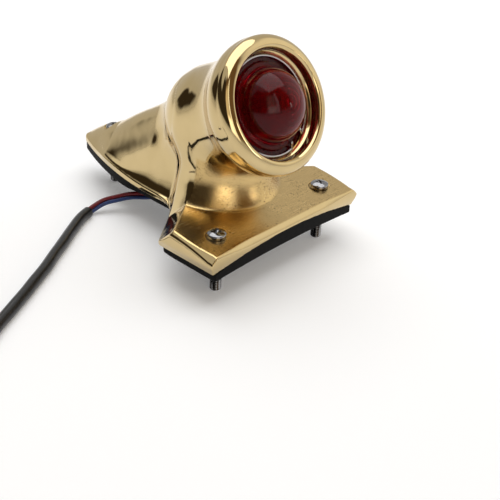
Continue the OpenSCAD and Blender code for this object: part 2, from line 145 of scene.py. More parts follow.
def make_camera():
    azimuth, elevation, roll = (math.radians(v) for v in (-43.62, 27.77, 0.66))
    distance, aside, above = 513.17, -42.21, 38.71
    back = np.array([
        math.sin(azimuth) * math.cos(elevation),
        -math.cos(azimuth) * math.cos(elevation),
        math.sin(elevation),
    ])
    level = np.array([math.cos(azimuth), math.sin(azimuth), 0.0])
    upright = np.cross(back, level)
    right = level * math.cos(roll) + upright * math.sin(roll)
    up = -level * math.sin(roll) + upright * math.cos(roll)
    place = distance * back + aside * right + above * up + np.array([0, ROW_Y, 0])
    camera = bpy.data.objects.new("camera", bpy.data.cameras.new("camera"))
    camera.matrix_world = stance(right, up, back, place * MM)
    camera.data.lens = 72
    camera.data.sensor_width = 36
    camera.data.shift_x = 0.1296
    camera.data.shift_y = -0.1293
    camera.data.clip_start = 0.01
    camera.data.clip_end = 20
    bpy.context.scene.collection.objects.link(camera)
    bpy.context.scene.camera = camera


make_camera()


# Mesh helpers


def unit(v):
    return v / np.linalg.norm(v, axis=-1, keepdims=True)


def make_piece(name, points, faces, body="lamp", node=None, smooth_angle=None):
    """A piece from points in the row frame, in millimetres."""
    mesh = bpy.data.meshes.new(name)
    places = (np.asarray(points, float) * MM).tolist()
    mesh.from_pydata(places, [], [tuple(map(int, f)) for f in faces])
    mesh.update()
    mesh.shade_smooth()
    if smooth_angle is not None:
        mesh.set_sharp_from_angle(angle=math.radians(smooth_angle))
    piece = bpy.data.objects.new(name, mesh)
    bpy.context.scene.collection.objects.link(piece)
    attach(piece, body)
    if node:
        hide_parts(node)
    return piece


def axis_to_row(x, v, h):
    """From the lamp's axis frame (across, up, forward) to the row frame."""
    return np.stack([
        x,
        ROW_Y + MOUTH_Y + v * math.sin(TILT) - h * math.cos(TILT),
        MOUTH_Z + v * math.cos(TILT) + h * math.sin(TILT),
    ], axis=-1)


def grid_faces(rows, cols, wrap_rows=False, wrap_cols=True):
    faces = []
    for i in range(rows if wrap_rows else rows - 1):
        for j in range(cols if wrap_cols else cols - 1):
            a, b = i * cols + j, i * cols + (j + 1) % cols
            c, d = ((i + 1) % rows) * cols + (j + 1) % cols, ((i + 1) % rows) * cols + j
            faces.append((a, b, c, d))
    return faces


def lathe(profile, segments=192, closed=False):
    """Points and faces of a turned form about the lamp's axis, from (radius, forward) pairs."""
    profile = np.asarray(profile, float)
    turn = np.linspace(0, 2 * math.pi, segments, endpoint=False)
    r, h = profile[:, 0][:, None], profile[:, 1][:, None]
    points = axis_to_row(r * np.cos(turn), r * np.sin(turn), h + 0 * turn).reshape(-1, 3)
    return points, grid_faces(len(profile), segments, wrap_rows=closed)


def arc(centre, radii, start, end, steps):
    """Points of an elliptical arc, as (radius, forward) pairs."""
    angles = np.radians(np.linspace(start, end, steps))
    (x, y), (a, b) = centre, radii
    return [(x + a * math.cos(t), y + b * math.sin(t)) for t in angles]


def smooth_route(points, step=1.0):
    """A smooth curve through given points, resampled evenly."""
    p = np.asarray(points, float)
    p = np.vstack([2 * p[0] - p[1], p, 2 * p[-1] - p[-2]])
    fine = []
    for i in range(1, len(p) - 2):
        t = np.linspace(0, 1, 24, endpoint=False)[:, None]
        a, b, c, d = p[i - 1], p[i], p[i + 1], p[i + 2]
        square, cube = 2 * a - 5 * b + 4 * c - d, 3 * b - a - 3 * c + d
        fine.append(0.5 * (2 * b + (c - a) * t + square * t**2 + cube * t**3))
    fine = np.vstack(fine + [p[-2][None]])
    length = np.concatenate([[0], np.cumsum(np.linalg.norm(np.diff(fine, axis=0), axis=1))])
    count = max(4, int(round(length[-1] / step)) + 1)
    at = np.linspace(0, length[-1], count)
    return np.stack([np.interp(at, length, fine[:, k]) for k in range(3)], axis=1)


def path_frames(path, reference=(0, 0, 1)):
    """Tangent, side and up vectors along a path, carried along without twist."""
    tangent = unit(np.gradient(path, axis=0))
    side = unit(np.cross(tangent[0], reference))
    sides = []
    for t in tangent:
        side = unit(side - t * np.dot(side, t))
        sides.append(side)
    sides = np.array(sides)
    return tangent, sides, np.cross(sides, tangent)


def tube(path, radius, sides=16, reference=(0, 0, 1), shape=None):
    """A closed round tube along a path. shape(angle, row) may change its radius."""
    _, side, up = path_frames(path, reference)
    turn = np.linspace(0, 2 * math.pi, sides, endpoint=False)
    radii = np.full((len(path), sides), float(radius))
    if shape is not None:
        radii = radii * shape(turn[None, :], np.arange(len(path))[:, None])
    rings = (
        path[:, None]
        + radii[..., None] * np.cos(turn)[None, :, None] * side[:, None]
        + radii[..., None] * np.sin(turn)[None, :, None] * up[:, None]
    )
    points = rings.reshape(-1, 3)
    faces = [f[::-1] for f in grid_faces(len(path), sides)]
    first, last = len(points), len(points) + 1
    points = np.vstack([points, path[0], path[-1]])
    end = (len(path) - 1) * sides
    faces += [(first, (j + 1) % sides, j)[::-1] for j in range(sides)]
    faces += [(last, end + j, end + (j + 1) % sides)[::-1] for j in range(sides)]
    return points, [f[::-1] for f in faces]


# Lead: the routes repeat the CAD source's points, in millimetres in the row frame

BUNDLE = [
    [0, -24, 42], [0, -22, 35], [-2, -14, 29.5], [-5, -3, 26.5], [-7, 3, 20.5], [-9.3, 7.6, 13.6],
    [-13.5, 14, 12], [-18, 21.5, 10.4], [-23, 27.5, 8], [-29, 32.5, 5.8], [-36.5, 34.7, 3.2],
    [-39.5, 33.5, 3.2],
]
EXIT_POINT = 5
SLEEVE_ROUTE = [
    [-39.5, 33.5, 3.2], [-47, 30.5, 3.2], [-58, 24, 3.2], [-68, 17.5, 3.2], [-78.5, 11, 3.2],
    [-88.5, 4.5, 3.2], [-97, -0.5, 3.2], [-105, -5, 3.2], [-111, -8.5, 3.2], [-123, -15, 3.2],
    [-133.5, -20.5, 3.2], [-144, -26, 3.2], [-155.5, -28.5, 3.2], [-167, -26, 3.2],
    [-177, -19, 3.2], [-183.5, -8, 3.2], [-185.5, 4, 3.2], [-183.5, 14, 3.2], [-181, 20, 3.2],
]
TAIL_ROUTE = [
    [-181, 20, 3.2], [-178.5, 26, 3.2], [-175, 33, 3.2], [-171, 40, 3.2], [-166, 48, 3.2],
]
TURN_OF = {"black": 120, "red": 240, "blue": 0}
TAIL_TURN = {"black": 180, "red": 60, "blue": 300}
TWIST = -160
FAN = {"black": -7, "red": 0, "blue": 7}
SIDE_WAY = np.array([math.cos(math.radians(-32)), math.sin(math.radians(-32)), 0])
LEAN = np.array([1, 0, 1]) / math.sqrt(2)

TAG = (57 * math.cos(TILT) + ROW_Y + MOUTH_Y, MOUTH_Z - 57 * math.sin(TILT))


def from_tag(x):
    """Start of a wire at a contact terminal, on the side that x gives as 1 or -1."""
    return [
        [x * 3.3, TAG[0], TAG[1]], [x * 3.3, TAG[0] + 0.9, TAG[1] - 0.43], [x * 3.4, -8.7, 57.4],
        [x * 3.2, -10.7, 53.2], [x * 2.8, -14.4, 50.3], [x * 1.8, -20.2, 47.6],
    ]


STARTS = {
    "black": from_tag(1),
    "red": from_tag(-1),
    "blue": [
        [-15.2, -35.3, 65.7], [-14.6, -36.2, 63.2], [-12, -36, 58.6], [-8, -32, 51.6],
        [-2.5, -27, 47.6],
    ],
}


def headings(points):
    p = np.asarray(points, float)
    steps = unit(np.diff(p, axis=0))
    inner = unit(steps[1:] + steps[:-1])
    return np.vstack([steps[0], inner, steps[-1]])


def strand(points, start_turn, end_turn, reference):
    """Places of one wire beside the bundle's own line, as in the CAD source."""
    p = np.asarray(points, float)
    t = headings(p)
    across = unit(np.cross(t, reference))
    over = np.cross(across, t)
    angle = np.radians(np.linspace(start_turn, end_turn, len(p)))[:, None]
    return p + STRAND_R * (np.cos(angle) * across + np.sin(angle) * over)


def wire_routes(colour):
    """The wire's hidden part inside the lamp, and its free part from the exit to its far end."""
    turn = TURN_OF[colour]
    run = strand(BUNDLE, turn, turn + TWIST, LEAN)
    inside = np.vstack([STARTS[colour], run[: EXIT_POINT + 1]])
    # Inside the sleeve the wires keep beside its line and turn slowly to their order at its end.
    mouth_turn = math.degrees(math.atan2(*strand_place(run[-1])))
    end_turn = nearest_turn(TAIL_TURN[colour], mouth_turn)
    sleeve = strand(SLEEVE_ROUTE, mouth_turn, end_turn, (0, 0, 1))
    tail = strand(TAIL_ROUTE, TAIL_TURN[colour], TAIL_TURN[colour], (0, 0, 1))
    for k in range(2, 5):
        tail[k] += SIDE_WAY * FAN[colour] * ((k - 1) / 3) ** 2
    tail[3:, 2] = 1.3
    return inside, np.vstack([run[EXIT_POINT:], sleeve[1:-1], tail])


def strand_place(point):
    """Up and across parts of a wire's place in the sleeve's mouth."""
    t = headings(SLEEVE_ROUTE)[0]
    across = unit(np.cross(t, (0, 0, 1)))
    over = np.cross(across, t)
    offset = point - np.array(SLEEVE_ROUTE[0])
    return float(offset @ over), float(offset @ across)


def nearest_turn(turn, near):
    return near + (turn - near + 180) % 360 - 180


def make_wire(colour):
    """One wire: its part inside the lamp, its free run and its tinned end."""
    node = "lead_" + colour
    inside, free = wire_routes(colour)
    points, faces = tube(smooth_route(inside, 1.2), WIRE_D / 2, 14, (1, 0.2, 0))
    hidden = make_piece(node + "_inside", points, faces, node=node)
    path = smooth_route(free, 1.5)
    points, faces = tube(path, WIRE_D / 2, 14)
    wire = make_piece(node + "_run", points, faces, node=node)
    # The tinned end: twisted strands, a little thinner than the insulation.
    way = unit(path[-1] - path[-2])
    end = path[-1] + way * np.linspace(-0.6, 6, 34)[:, None]

    def twisted(turn, row):
        return 1 + 0.07 * np.cos(7 * turn + row * 0.45) - 0.25 * (row > 31)

    points, faces = tube(end, TIP_WIRE_R, 20, shape=twisted)
    tip = make_piece(node + "_end", points, faces, node="lead_ends")
    return hidden, wire, tip


def make_sleeve():
    """The black sleeve is hollow and a little creased over the wires."""
    path = smooth_route(SLEEVE_ROUTE, 1.0)
    rows = len(path)
    sides = 36

    def creased(turn, row):
        along = row / rows
        lobes = 1 - 0.045 * (1 - np.cos(3 * turn + 5 * along)) / 2
        ripple = 1 - 0.02 * (0.5 + 0.5 * np.sin(along * 61 + 2 * np.sin(turn)))
        return lobes * ripple

    outer, faces = tube(path, SLEEVE_D / 2, sides, shape=creased)
    inner, _ = tube(path, SLEEVE_D / 2 - SLEEVE_WALL, sides)
    outer, inner = outer[:-2], inner[:-2]
    count = len(outer)
    walls = [f for f in faces if max(f) < count]
    points = np.vstack([outer, inner])
    shell = walls + [tuple(i + count for i in f[::-1]) for f in walls]
    end = (rows - 1) * sides
    for j in range(sides):
        k = (j + 1) % sides
        shell.append((j, k, k + count, j + count))
        shell.append((end + j, end + j + count, end + k + count, end + k))
    sleeve = make_piece(
        "vinyl_sleeve", points, shell, node="lead_sleeve", smooth_angle=50
    )
    return sleeve


WIRES = {colour: make_wire(colour) for colour in ("black", "red", "blue")}
SLEEVE = make_sleeve()


# Casting: one smooth field, negative inside the metal


def smax(a, b, k):
    h = np.clip(0.5 + 0.5 * (a - b) / k, 0, 1)
    return b + (a - b) * h + k * h * (1 - h)


def smin(a, b, k):
    return -smax(-a, -b, k)


def ease(t):
    t = np.clip(t, 0, 1)
    return t * t * (3 - 2 * t)


def bar_z(y):
    return BAR_TOP + BAR_SLOPE * y


def arch(x, y):
    """Height of the underside, which is arched higher along the crossbar's front."""
    along = UNDER_Z - UNDER_DROP * np.clip((abs(x) - 20) / 31, 0, 1.2) ** 2
    front = FRONT_UNDER_Z - FRONT_DROP * np.minimum(1.25, abs(x) / 51) ** 2
    return along + (front - along) * ease((28 - y) / 28)


def tongue_w(y):
    return TONGUE_HALF - 14.9 * np.clip((y - 58) / 76, 0, 1.06) ** 2


def tongue_side(x, y):
    """Signed distance to the tongue's sides and round tip."""
    return np.where(y > TIP_START, np.hypot(x, y - TIP_Y) - TIP_R, (abs(x) - tongue_w(y)) * 0.95)


def wing_rear(ax, y):
    """Signed distance to the crossbar's slanting rear edges."""
    return (WING_SLOPE * (ax - WING_X) + y - WING_Y) / WING_NORM


def column_half(y):
    """Half width of the column, and behind it of the tongue."""
    waist = COLUMN_R - (COLUMN_R - TONGUE_HALF) * ease((y - COLUMN_Y) / WAIST_LENGTH)
    return np.where(y < COLUMN_Y + WAIST_LENGTH, waist, tongue_w(y))


def ridge(y):
    """Height of the top line of the column and tongue."""
    front = np.minimum(78, 75 - 0.71 * (y - 65)) - 2.1 * np.exp(-(((y - 77) / 15) ** 2))
    rear = 41.6 - 0.36 * (y - 112) - 0.0065 * (y - 112) ** 2
    return np.where(y < 112, front, rear)


def face_front(x):
    """Front limit of the crossbar's brushed face."""
    return -11 - 1.3 * ease((abs(x) - 25) / 25)


def face_end(y):
    """Outer limit of the crossbar's brushed face, which is a shallow curve."""
    return 50.3 + 1.6 * np.maximum(0, 1 - ((y - 8) / 18) ** 2)


def plate(x, y):
    """Top of the plate: the sloping face with bevels along its front, ends and rear edges."""
    top = bar_z(y)
    front = bar_z(-11) + 1.2 * (y - face_front(x))
    ends = top - 0.94 * (abs(x) - face_end(y))
    thin = ease((abs(x) - 24) / 6)
    inwards = smax(WING_Y - WING_SLOPE * (abs(x) - WING_X) - y, 0 * x, 0.8)
    rear = EDGE_Z - 2.9 * thin + (0.69 + 0.225 * thin) * inwards
    return smin(smin(smin(top, front, 0.7), ends, 0.7), rear, 0.8)


def swell(x, y):
    """How far the pedestal and ridge rise from the plate towards their top line, from 0 to 1."""
    from_centre = np.hypot(x, np.minimum(y, COLUMN_Y) - COLUMN_Y)
    reach = np.where(y < COLUMN_Y, from_centre / COLUMN_R, abs(x) / column_half(y))
    power = 1.67 - 0.22 * ease((y - COLUMN_Y) / WAIST_LENGTH)
    return 0.5 * (1 + np.cos(math.pi * np.minimum(1, reach) ** power))


def top_z(x, y):
    """Height of the casting's top without its barrel."""
    low = plate(x, y)
    return low + np.maximum(0, ridge(y) - low) * swell(x, y)


def slope_of(height, x, y, e=0.05):
    """Steepness factor that turns a height difference into a distance."""
    gx = (height(x + e, y) - height(x - e, y)) / (2 * e)
    gy = (height(x, y + e) - height(x, y - e)) / (2 * e)
    return np.sqrt(1 + gx**2 + gy**2)


def footprint(x, y, z, soft=0.0):
    """Signed distance to the casting's side walls."""
    ax = abs(x)
    ends = smax(ax - BAR_HALF, ((ax - 51.2) * 5.6 - (z - 18.4) * 2.5) / 6.13, 0.8)
    front = smax(-y - 13.2, ((-y - 11.4) * 5.8 - (z - 18.2) * 1.8) / 6.07, 0.8)
    wings = smax(smax(ends, front, 0.6), wing_rear(ax, y), 0.9)
    tongue = smax(tongue_side(x, y), 20 - y, 0.5)
    return smin(wings, tongue, 3.0 + soft)


def axis_place(x, y, z):
    """Up, depth behind the mouth, and distance from the lamp's axis."""
    up = (y - MOUTH_Y) * math.sin(TILT) + (z - MOUTH_Z) * math.cos(TILT)
    depth = (y - MOUTH_Y) * math.cos(TILT) - (z - MOUTH_Z) * math.sin(TILT)
    return up, depth, np.hypot(x, up)


def barrel_r(s):
    return BARREL_R + FLARE * np.exp(-((np.abs(s - 3.5) / 12.2) ** 2.2))


def capsule(depth, rho, radius):
    """A round bore with a domed back."""
    return np.where(depth < DOME_S, rho, np.hypot(rho, depth - DOME_S)) - radius


def barrel(depth, rho):
    """Signed distance to the outside of the barrel and its domed back."""
    e = 0.05
    slope = (barrel_r(depth + e) - barrel_r(depth - e)) / (2 * e)
    side = (rho - barrel_r(depth)) / np.sqrt(1 + slope**2)
    return np.where(depth < DOME_S, side, np.hypot(rho, depth - DOME_S) - BARREL_R)


def pocket(x, y, z):
    """The hollow under the column and tongue."""
    half = 0.66 * column_half(y)
    half = half * np.sqrt(np.clip((y - 23) / 8, 0.001, 1) * np.clip((115 - y) / 8, 0.001, 1))
    roof = np.minimum(36 + 0.9 * np.maximum(0, y - 62), top_z(1.2 * x, y) - 5)
    return smax(smax((z - roof) * 0.5, abs(x) - half, 1.0), smax(24 - y, y - 114, 0.5), 1.0)


def casting(x, y, z, soft=0.0):
    """The whole cast body. Soft widens the hollows where barrel, column and tongue meet."""
    up, depth, rho = axis_place(x, y, z)
    blend = 3.0 + soft * ease((depth - JOIN_S - 1) / 9)
    low = smax((z - top_z(x, y)) / slope_of(top_z, x, y), footprint(x, y, z, soft), 0.9)
    low = smax(low, arch(x, y) - z, 0.5)
    solid = smin(low, barrel(depth, rho), blend)
    solid = smax(solid, -capsule(depth, rho, CAVITY_R), 0.4)
    solid = smax(solid, -pocket(x, y, z), 0.6)
    hole = np.maximum(np.hypot(x, y - WIRE_HOLE_Y) - WIRE_HOLE_R, np.maximum(30 - z, z - 50))
    solid = smax(solid, -hole, 0.4)
    ends = np.maximum(31.2 - depth, depth - 58)
    pillars = np.maximum(np.hypot(abs(x) - PILLAR_X, up) - PILLAR_R, ends)
    solid = smin(solid, pillars, 0.8)
    front_screws = (SCREW_X, 0, SEAT_Z, HEAD_R + 0.75)
    rear_screw = (0, REAR_SCREW_Y, REAR_SEAT_Z, HEAD_R + 0.95)
    for sx, sy, seat, wide in (front_screws, rear_screw):
        away = np.hypot(abs(x) - sx, y - sy)
        solid = smax(solid, STUD_R + 0.25 - away, 0.3)
        solid = smax(solid, -smax(away - wide, seat - z, 0.3), 0.35)
    return solid


def gradient(field, p, e=0.04):
    """Slope of a field at each point, by central differences."""
    g = np.empty_like(p)
    for k in range(3):
        a, b = p.copy(), p.copy()
        a[:, k] += e
        b[:, k] -= e
        g[:, k] = (field(*a.T) - field(*b.T)) / (2 * e)
    return g


def surface_net(field, low, high, step):
    """Quads on the zero surface of a field, with every vertex moved exactly onto it."""
    x, y, z = (np.arange(lo, hi + step, step) for lo, hi in zip(low, high))
    f = field(x[:, None, None], y[None, :, None], z[None, None, :])
    inside = f < 0
    shape = tuple(n - 1 for n in f.shape)
    corners = list(product((0, 1), repeat=3))

    def shifted(a, c):
        return a[tuple(slice(first, first + n) for first, n in zip(c, shape))]

    count = sum(shifted(inside, c).astype(np.int8) for c in corners)
    cells = np.argwhere((count > 0) & (count < 8))
    index = np.full(shape, -1, np.int64)
    index[tuple(cells.T)] = np.arange(len(cells))
    place, hits = np.zeros((len(cells), 3)), np.zeros(len(cells))
    for c in corners:
        for k in range(3):
            if c[k]:
                continue
            d = tuple(c[i] + (i == k) for i in range(3))
            fa, fb = f[tuple((cells + c).T)], f[tuple((cells + d).T)]
            crossing = (fa < 0) != (fb < 0)
            t = np.where(crossing, fa / np.where(crossing, fa - fb, 1), 0)
            spot = np.array(c, float) + t[:, None] * (np.array(d) - np.array(c))
            place += np.where(crossing[:, None], spot, 0)
            hits += crossing
    points = np.array(low) + (cells + place / hits[:, None]) * step
    for _ in range(4):
        value, g = field(*points.T), gradient(field, points)
        move = value / np.maximum((g**2).sum(1), 0.05)
        points -= np.clip(move, -0.3 * step, 0.3 * step)[:, None] * g
    faces = []
    for k in range(3):
        ahead = tuple(int(i == k) for i in range(3))
        trimmed = inside[: f.shape[0] - ahead[0], : f.shape[1] - ahead[1], : f.shape[2] - ahead[2]]
        change = trimmed != inside[ahead[0]:, ahead[1]:, ahead[2]:]
        g = np.argwhere(change)
        others = [i for i in range(3) if i != k]
        g = g[np.all([(g[:, i] > 0) & (g[:, i] < f.shape[i] - 1) for i in others], axis=0)]
        b, c = (np.eye(3, dtype=int)[i] for i in others)
        ring = [index[tuple((g - o).T)] for o in (b + c, c, 0 * b, b)]
        quad = np.stack(ring, axis=1)
        flip = inside[tuple(g.T)] ^ (k == 1)
        quad[~flip] = quad[~flip][:, ::-1]
        faces.append(quad)
    return points, np.vstack(faces)


def hull(x, y, z):
    """Share of the swelling along the tongue's sides, which follows a soft line."""
    back = y - 80
    line = 38.5 - 0.62 * back + 0.006 * back**2
    along = ease((y - 64) / 8) * ease((126 - y) / 16) * ease((z - 21.5) / 7)
    return along * np.exp(-(((z - line) / 7.5) ** 2))


def dressed(x, y, z):
    """The casting that is meshed, with its hollows a little wider than in the CAD source."""
    return casting(x, y, z, 3.5) - 1.3 * hull(x, y, z)


def polished(x, y, z):
    """A still rounder casting, which gives the mesh its normals and nothing else."""
    return casting(x, y, z, 9.0) - 1.8 * hull(x, y, z)


def cut_at_rim(points, faces):
    """Leaves out what the turned rim replaces, and cuts the rest straight at the joining ring."""
    _, depth, rho = axis_place(*points.T)
    keep = ~((depth < JOIN_S - 1.6) & (rho < RIM_REACH))
    faces = faces[keep[faces].all(1)]
    used = np.unique(faces)
    renumber = np.full(len(points), -1)
    renumber[used] = np.arange(len(used))
    points, faces = points[used], renumber[faces]

    mesh = bmesh.new()
    for p in points:
        mesh.verts.new(p)
    mesh.verts.ensure_lookup_table()
    for f in faces:
        mesh.faces.new([mesh.verts[i] for i in f])
    near = []
    for v in mesh.verts:
        _, depth, rho = axis_place(*v.co)
        if rho < RIM_REACH and abs(depth - JOIN_S) < 4:
            near.append(v)
    near_set = set(near)
    edges = [e for e in mesh.edges if e.verts[0] in near_set and e.verts[1] in near_set]
    around = [f for f in mesh.faces if all(v in near_set for v in f.verts)]
    plane = (0, MOUTH_Y + JOIN_S * math.cos(TILT), MOUTH_Z - JOIN_S * math.sin(TILT))
    bmesh.ops.bisect_plane(
        mesh, geom=near + edges + around, dist=1e-4, plane_co=plane,
        plane_no=(0, -math.cos(TILT), math.sin(TILT)), clear_outer=True,
    )
    bmesh.ops.recalc_face_normals(mesh, faces=mesh.faces)
    points = np.array([v.co for v in mesh.verts])
    faces = [[v.index for v in f.verts] for f in mesh.faces]
    mesh.free()
    return points, faces


def follow_field(piece, points, solid, shading):
    """Faces out of the solid field, with normals from the shading field."""
    data = piece.data
    centre = np.array([p.center for p in data.polygons]) / MM - [0, ROW_Y, 0]
    facing = np.array([p.normal for p in data.polygons])
    if (facing * gradient(solid, centre)).sum() < 0:
        data.flip_normals()
    data.normals_split_custom_set_from_vertices(unit(gradient(shading, points)).tolist())


def make_casting():
    """The cast body behind the rim."""
    net = surface_net(dressed, (-55.0, -14.5, 14.0), (55.0, 145.0, 116.0), 0.75)
    points, faces = cut_at_rim(*net)
    piece = make_piece("cast_body", points + [0, ROW_Y, 0], faces, node="housing")
    follow_field(piece, points, casting, polished)
    brush = piece.data.attributes.new("brushed", "FLOAT", "POINT")
    brush.data.foreach_set("value", brushed_share(*points.T).astype(np.float32))
    return piece


def brushed_share(x, y, z):
    """1 on the brushed face of the crossbar and pedestal, 0 on the mirror-polished rest."""
    ax = abs(x)
    _, depth, rho = axis_place(x, y, z)
    corner = 28.3 + 0.37 * np.maximum(0, 27 - ax)
    rear = np.minimum(49.2 - 0.65 * ax, corner) - y
    front = y - face_front(x)
    ends = face_end(y) - ax
    clear = barrel(depth, rho) - 1.2
    above = z - 27.5
    inside = np.minimum.reduce([rear, front, ends, clear, above])
    return np.clip(0.5 + inside / 0.8, 0, 1)


def make_rim():
    """The turned mouth: outer flare, rolled bead, the bore for the lens and the cavity wall."""
    outer = [(barrel_r(s), -s) for s in np.arange(JOIN_S + 0.05, 2.0, -0.5)]
    bead = arc(BEAD_CENTRE, BEAD_OUTER, -12, 90, 30)[1:]
    bead += arc(BEAD_CENTRE, BEAD_INNER, 90, 180, 26)[1:]
    groove = [(25.2, -2.05), (25.2, -3.6)]
    bore = [(25.9, -0.7), (24.8, -2.0), *groove, (24.8, -3.65), (24.8, -6.6), (CAVITY_R, -6.6)]
    wall = [(CAVITY_R, -h) for h in np.linspace(6.7, JOIN_S + 0.05, 6)]
    points, faces = lathe(outer + bead + bore + wall, 256)
    return make_piece("turned_rim", points, faces, node="housing", smooth_angle=40)


HOUSING = make_casting()
RIM = make_rim()


# Pad


def pad_bottom(x, y):
    """Height of the pad's underside."""
    return 16.3 - 1.8 * (x / 50) ** 2 + 1.8 * ease((y - 15) / 25) * (1 - ease((y - 68) / 20))


def pad_field(x, y, z):
    ax = abs(x)
    wings = smax(smax(ax - 50.4, -y - 12.0, 1.0), wing_rear(ax, y) + 2.4, 1.2)
    tip = tongue_side(x, y) + 1.5 - 1.1 * ease((y - 75) / 20)
    side = smin(wings, smax(tip, 20 - y, 0.5), 2.5)
    solid = smax(smax(side, pad_bottom(x, y) - z, 0.9), z - arch(x, y), 0.4)
    solid = smax(solid, PAD_HOLE_R - np.hypot(x - PAD_HOLE_X, y - PAD_HOLE_Y), 0.5)
    for sx, sy in ((SCREW_X, 0), (0, REAR_SCREW_Y)):
        solid = smax(solid, STUD_R + 0.4 - np.hypot(ax - sx, y - sy), 0.3)
    return solid


def make_pad():
    points, faces = surface_net(pad_field, (-53.5, -13.5, 12.5), (53.5, 143.5, 26.5), 0.8)
    piece = make_piece("moulded_pad", points + [0, ROW_Y, 0], faces, node="base_pad")
    follow_field(piece, points, pad_field, pad_field)
    return piece


PAD = make_pad()


# Lens, seal, ring and bulb


def make_lens():
    """The pressed glass: flange, bead and dome outside, and moulded rings inside the dome."""
    inner_r = DOME_R - GLASS_T
    flange = [(24.35, -5.6), (24.4, -5.4), (24.4, -3.8), (24.2, -3.6), (21.75, -3.6), (21.5, -3.4)]
    bead = [(21.3, -2.2), (21.05, -1.8), (20.6, -1.6), (20.1, -1.65), (19.6, -1.75), (19.2, -1.6)]
    outer = flange + bead + [(18.95, -1.2)] + arc((0, DOME_H), (DOME_R, DOME_R), 14, 90, 60)
    inner = []
    for a in np.radians(np.linspace(90, 0, 120)):
        r = inner_r * math.cos(a)
        step = STEP_DEPTH * (0.5 - 0.5 * math.cos(2 * math.pi * r / STEP_PITCH)) if r < 14.5 else 0
        inner.append((max(0, r - step * math.cos(a)), DOME_H + (inner_r - step) * math.sin(a)))
    profile = outer + inner + [(inner_r, -5.6)]
    points, faces = lathe(profile, 192, closed=True)
    return make_piece("ruby_lens", points, faces, node="lens", smooth_angle=35)


def make_seal():
    front = [(21.0, -6.5), (21.0, -5.7), (21.1, -5.6), (24.4, -5.6)]
    profile = front + [(24.5, -5.7), (24.5, -6.5), (24.4, -6.6), (21.1, -6.6)]
    points, faces = lathe(profile, 128, closed=True)
    return make_piece("seal_ring", points, faces, node="lens_seal", smooth_angle=50)


def make_retaining_ring():
    """A sprung wire ring: one wire bent inwards and forwards at both ends of its gap."""
    start, end = 288, 309

    def on_ring(angle, inward, forward):
        a = math.radians(angle)
        r = RING_R - inward
        return axis_to_row(r * math.cos(a), r * math.sin(a), RING_H + forward)

    finger = [(3.8, 2.25), (2.7, 1.6), (1.5, 0.95), (0.6, 0.4), (0.15, 0.1)]
    route = [on_ring(end + 2 - 0.15 * i, *f) for i, f in enumerate(finger)]
    route += [on_ring(a, 0, 0) for a in np.linspace(end + 3, start + 360 - 3, 90)]
    route += [on_ring(start - 2 + 0.15 * i, *f) for i, f in reversed(list(enumerate(finger)))]
    path = smooth_route(np.array(route), 0.8)
    rows = len(path)

    def blunt_ends(turn, row):
        return 1 - 0.25 * (np.minimum(row, rows - 1 - row) < 1)

    points, faces = tube(path, RING_WIRE_R, 14, (0, 0.9, -0.43), shape=blunt_ends)
    return make_piece("sprung_ring", points, faces, node="retaining_ring")


LENS = make_lens()
SEAL = make_seal()
RING = make_retaining_ring()


def make_bulb_glass():
    """The hollow glass: a neck in the cap and a round globe."""
    inner_r = GLOBE_R - GLOBE_T
    outer = [(6.7, -36), (6.7, NECK_H), (6.9, NECK_H + 1.2), (7.6, NECK_H + 3.0)]
    outer += arc((0, GLOBE_H), (GLOBE_R, GLOBE_R), -42, 90, 60)
    inner = arc((0, GLOBE_H), (inner_r, inner_r), 90, -42, 60)
    inner += [(6.9, NECK_H + 3.0), (6.2, NECK_H + 1.0), (6.05, NECK_H), (6.05, -36)]
    points, faces = lathe([(max(0, r), h) for r, h in outer + inner], 96, closed=True)
    return make_piece(
        "bulb_globe", points, faces, body="bulb", node="bulb_glass",
        smooth_angle=50,
    )


def make_filament(node, forward, up):
    """A coiled filament across the bulb."""
    turn = np.linspace(0, FILAMENT_TURNS * 2 * math.pi, 220)
    across = -3 + turn / turn[-1] * 6
    path = axis_to_row(across, up + 0.42 * np.cos(turn), forward + 0.6 + 0.42 * np.sin(turn))
    points, faces = tube(path, 0.12, 6, (1, 0, 0.1))
    return make_piece(node + "_coil", points, faces, body="bulb", node=node)


def make_springs():
    """Both contact springs as one piece."""
    points, faces = [], []
    for x in (-3.3, 3.3):
        turn = np.linspace(0, SPRING_TURNS * 2 * math.pi, 130)
        rise = np.clip((turn - 2) / (turn[-1] - 4), 0, 1)
        h = SPRING_BACK_H + SPRING_LENGTH * rise
        path = axis_to_row(x + 1.85 * np.cos(turn), 1.85 * np.sin(turn), h)
        p, f = tube(path, 0.24, 8, (0.2, 0.9, -0.4))
        faces += [tuple(i + len(points) for i in face) for face in f]
        points += p.tolist()
    piece = make_piece("spring_coils", points, faces, node="contact_springs")
    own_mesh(piece)
    return piece


BULB_GLASS = make_bulb_glass()
FILAMENTS = [
    make_filament("filament_tail", -7.5, -1.4),
    make_filament("filament_brake", -12.5, 1.4),
]
SPRINGS = make_springs()


# Mounting screws


def head_height(x, y):
    """A domed pan head with a cross recess."""
    r = np.hypot(x, y)
    dome = HEAD_H * (1 - 0.42 * (r / HEAD_R) ** 2.4)
    ax, ay = np.abs(x), np.abs(y)
    arm = np.minimum(
        np.maximum(ax - RECESS_REACH, ay - RECESS_HALF + 0.08 * ax),
        np.maximum(ay - RECESS_REACH, ax - RECESS_HALF + 0.08 * ay),
    )
    deep = 2.3 - 0.75 * r
    return dome - deep * (1 - ease((arm + 0.12) / 0.24))


